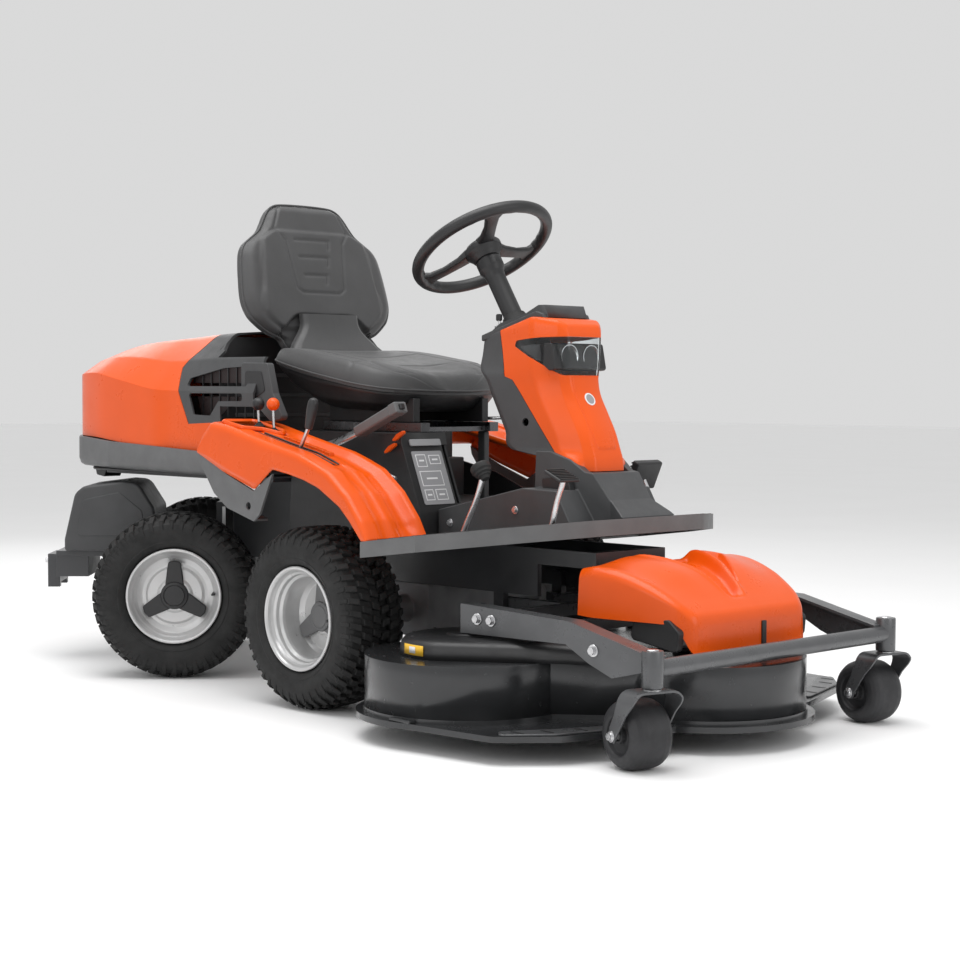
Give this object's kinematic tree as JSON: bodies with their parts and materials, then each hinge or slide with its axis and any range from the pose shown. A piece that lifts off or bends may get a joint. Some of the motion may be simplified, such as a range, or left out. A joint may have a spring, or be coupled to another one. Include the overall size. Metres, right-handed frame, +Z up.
{
  "type": "riding lawn mower",
  "caption": "Ride-on lawn mower with a cutting deck carried in front, a steering tower, a padded seat, a rear engine under a hinged hood and rear wheels that steer with their own frame.",
  "frame": {"origin": "middle of the footprint, on the ground", "axes": "+X forward, towards the cutting deck; +Y to the driver's left; +Z up"},
  "size_m": [2.2911, 1.16, 1.1739],
  "materials": {
    "orange_plastic": "gloss moulded",
    "dark_plastic": "satin moulded",
    "grey_plastic": "fine-grained moulded",
    "black_plastic": "satin moulded",
    "frame_paint": "semi-gloss powder coat",
    "deck_paint": "gloss powder coat",
    "seat_vinyl": "grained vinyl over foam",
    "tyre_rubber": "matt rubber",
    "belt_rubber": "matt rubber",
    "caster_rubber": "satin rubber",
    "rim_silver": "silver paint",
    "bright_steel": "zinc plated",
    "cast_alloy": "cast",
    "ballast_iron": "dark textured cover over cast ballast",
    "lens": "clear"
  },
  "bodies": {
    "chassis": {"main_frame": "frame_paint", "front_transaxle": "cast_alloy", "engine": "cast_alloy", "fuel_tank": "black_plastic", "battery": "black_plastic", "rear_surround": "grey_plastic", "right_fender": "orange_plastic", "left_fender": "orange_plastic", "right_fender_lower": "grey_plastic", "left_fender_lower": "grey_plastic", "footplate": "grey_plastic", "seat_pedestal": "black_plastic", "tower_front_cover": "orange_plastic", "tower_rear_cover": "dark_plastic", "headlight_lens": "lens", "tower_cap": "dark_plastic", "tower_base_cover": "dark_plastic", "steering_column": "black_plastic"},
    "rear_section": {"rear_frame": "frame_paint", "counterweight": "ballast_iron", "rear_transaxle": "cast_alloy"},
    "front_right_wheel": {"front_right_tyre": "tyre_rubber", "front_right_rim": "rim_silver"},
    "front_left_wheel": {"front_left_tyre": "tyre_rubber", "front_left_rim": "rim_silver"},
    "rear_right_wheel": {"rear_right_tyre": "tyre_rubber", "rear_right_rim": "rim_silver"},
    "rear_left_wheel": {"rear_left_tyre": "tyre_rubber", "rear_left_rim": "rim_silver"},
    "bonnet": {"hood": "orange_plastic", "hood_top_panel": "dark_plastic", "intake_grille_right": "black_plastic", "intake_grille_left": "black_plastic"},
    "seat_base": {"seat_rails": "bright_steel"},
    "seat": {"seat_pan": "black_plastic", "seat_cushion": "seat_vinyl", "seat_back": "seat_vinyl"},
    "seat_catch": {"seat_lever": "black_plastic"},
    "steering": {"steering_wheel": "black_plastic"},
    "key": {"ignition_key": "black_plastic"},
    "lift_handle": {"lift_lever": "bright_steel"},
    "height_handle": {"height_lever": "black_plastic"},
    "throttle": {"throttle_lever": "black_plastic"},
    "choke": {"choke_lever": "orange_plastic"},
    "forward_drive_pedal": {"forward_pedal": "bright_steel"},
    "reverse_drive_pedal": {"reverse_pedal": "bright_steel"},
    "brake": {"brake_pedal": "bright_steel"},
    "deck_carrier": {"deck_frame": "frame_paint"},
    "deck_cover": {"deck_front_cover": "orange_plastic"},
    "deck": {"deck_shell": "deck_paint", "belt_cover_right": "black_plastic", "belt_cover_left": "black_plastic", "deck_belt": "belt_rubber"},
    "right_blade": {"blade_right": "bright_steel"},
    "centre_blade": {"blade_centre": "bright_steel"},
    "left_blade": {"blade_left": "bright_steel"},
    "right_caster": {"caster_fork_right": "bright_steel"},
    "left_caster": {"caster_fork_left": "bright_steel"},
    "right_caster_wheel": {"caster_wheel_right": "caster_rubber"},
    "left_caster_wheel": {"caster_wheel_left": "caster_rubber"}
  },
  "joints": [
    {"name": "rear_frame_steer", "type": "hinge", "parent": "chassis", "child": "rear_section", "pos_m": [-0.62333, 0, 0.327], "axis": [0, 0, 1], "range_deg": [-96, 0]},
    {"name": "steering_wheel_turn", "type": "hinge", "parent": "chassis", "child": "steering", "pos_m": [0.26667, 0, 1.034], "axis": [-0.5388, 0, 0.8425], "range_deg": [0, 864]},
    {"name": "front_right_wheel_spin", "type": "hinge", "parent": "chassis", "child": "front_right_wheel", "pos_m": [0.12567, -0.356, 0.2035], "axis": [0, 1, 0], "continuous": true},
    {"name": "front_left_wheel_spin", "type": "hinge", "parent": "chassis", "child": "front_left_wheel", "pos_m": [0.12567, 0.356, 0.2035], "axis": [0, 1, 0], "continuous": true},
    {"name": "rear_right_wheel_spin", "type": "hinge", "parent": "rear_section", "child": "rear_right_wheel", "pos_m": [-0.48738, -0.31753, 0.2035], "axis": [-0.7431, 0.6691, 0], "continuous": true},
    {"name": "rear_left_wheel_spin", "type": "hinge", "parent": "rear_section", "child": "rear_left_wheel", "pos_m": [-0.95333, 0.10202, 0.2035], "axis": [-0.7431, 0.6691, 0], "continuous": true},
    {"name": "hood_open", "type": "hinge", "parent": "chassis", "child": "bonnet", "pos_m": [-1.03433, 0, 0.572], "axis": [0, -1, 0], "range_deg": [0, 70]},
    {"name": "seat_fold", "type": "hinge", "parent": "chassis", "child": "seat_base", "pos_m": [0.20067, 0, 0.614], "axis": [0, 1, 0], "range_deg": [0, 38]},
    {"name": "seat_slide", "type": "slide", "parent": "seat_base", "child": "seat", "axis": [1, 0, 0], "range_m": [-0.025, 0.025]},
    {"name": "seat_lever_lift", "type": "hinge", "parent": "seat_base", "child": "seat_catch", "pos_m": [0.14567, 0.13, 0.642], "axis": [0, -1, 0], "range_deg": [0, 10], "stiffness_Nm_per_rad": 0.5, "springref_deg": -5.73},
    {"name": "ignition_key_turn", "type": "hinge", "parent": "chassis", "child": "key", "pos_m": [0.36567, -0.04, 0.852], "axis": [-0.2095, 0, 0.9778], "range_deg": [-90, 0]},
    {"name": "deck_lift", "type": "hinge", "parent": "chassis", "child": "deck_carrier", "pos_m": [0.42567, 0, 0.24], "axis": [0, -1, 0], "range_deg": [0, 6]},
    {"name": "lift_lever_swing", "type": "hinge", "parent": "chassis", "child": "lift_handle", "pos_m": [-0.02433, -0.25, 0.54], "axis": [0, -1, 0], "range_deg": [0, 60]},
    {"name": "deck_height", "type": "slide", "parent": "deck_carrier", "child": "deck", "axis": [0, 0, 1], "range_m": [-0.03, 0]},
    {"name": "height_lever_swing", "type": "hinge", "parent": "chassis", "child": "height_handle", "pos_m": [0.06567, -0.388, 0.545], "axis": [0, 1, 0], "range_deg": [0, 25]},
    {"name": "centre_blade_spin", "type": "hinge", "parent": "deck", "child": "centre_blade", "pos_m": [0.92267, 0, 0.12], "axis": [0, 0, 1], "continuous": true},
    {"name": "right_blade_spin", "type": "hinge", "parent": "deck", "child": "right_blade", "pos_m": [0.58767, -0.35, 0.12], "axis": [0, 0, 1], "continuous": true},
    {"name": "left_blade_spin", "type": "hinge", "parent": "deck", "child": "left_blade", "pos_m": [0.58767, 0.35, 0.12], "axis": [0, 0, 1], "continuous": true},
    {"name": "deck_cover_open", "type": "hinge", "parent": "deck_carrier", "child": "deck_cover", "pos_m": [0.79767, 0, 0.345], "axis": [0, -1, 0], "range_deg": [0, 25]},
    {"name": "right_caster_swivel", "type": "hinge", "parent": "deck_carrier", "child": "right_caster", "pos_m": [1.11267, -0.379, 0.195], "axis": [0, 0, 1], "continuous": true},
    {"name": "left_caster_swivel", "type": "hinge", "parent": "deck_carrier", "child": "left_caster", "pos_m": [1.11267, 0.379, 0.195], "axis": [0, 0, 1], "continuous": true},
    {"name": "right_caster_wheel_spin", "type": "hinge", "parent": "right_caster", "child": "right_caster_wheel", "pos_m": [1.06609, -0.36739, 0.067], "axis": [0.2419, 0.9703, 0], "continuous": true},
    {"name": "left_caster_wheel_spin", "type": "hinge", "parent": "left_caster", "child": "left_caster_wheel", "pos_m": [1.06555, 0.38816, 0.067], "axis": [0.1908, 0.9816, 0], "continuous": true},
    {"name": "throttle_swing", "type": "hinge", "parent": "chassis", "child": "throttle", "pos_m": [-0.11633, -0.346, 0.59], "axis": [0, 1, 0], "range_deg": [-15, 15]},
    {"name": "choke_swing", "type": "hinge", "parent": "chassis", "child": "choke", "pos_m": [-0.06033, -0.346, 0.59], "axis": [0, 1, 0], "range_deg": [-15, 15]},
    {"name": "forward_pedal_press", "type": "hinge", "parent": "chassis", "child": "forward_drive_pedal", "pos_m": [0.47767, -0.271, 0.384], "axis": [0, 1, 0], "range_deg": [0, 10], "stiffness_Nm_per_rad": 20, "springref_deg": -5.73},
    {"name": "reverse_pedal_press", "type": "hinge", "parent": "chassis", "child": "reverse_drive_pedal", "pos_m": [0.70567, -0.231, 0.412], "axis": [0, 1, 0], "range_deg": [0, 10], "stiffness_Nm_per_rad": 20, "springref_deg": -5.73},
    {"name": "brake_pedal_press", "type": "hinge", "parent": "chassis", "child": "brake", "pos_m": [0.58067, 0.262, 0.394], "axis": [0, 1, 0], "range_deg": [0, 10], "stiffness_Nm_per_rad": 20, "springref_deg": -5.73}
  ],
  "couplings": [
    {"joint": "steering_wheel_turn", "follows": "rear_frame_steer", "ratio": -9},
    {"joint": "lift_lever_swing", "follows": "deck_lift", "ratio": 10},
    {"joint": "height_lever_swing", "follows": "deck_height", "rad_per_m": -14},
    {"joint": "right_blade_spin", "follows": "centre_blade_spin", "ratio": 1},
    {"joint": "left_blade_spin", "follows": "centre_blade_spin", "ratio": 1}
  ]
}
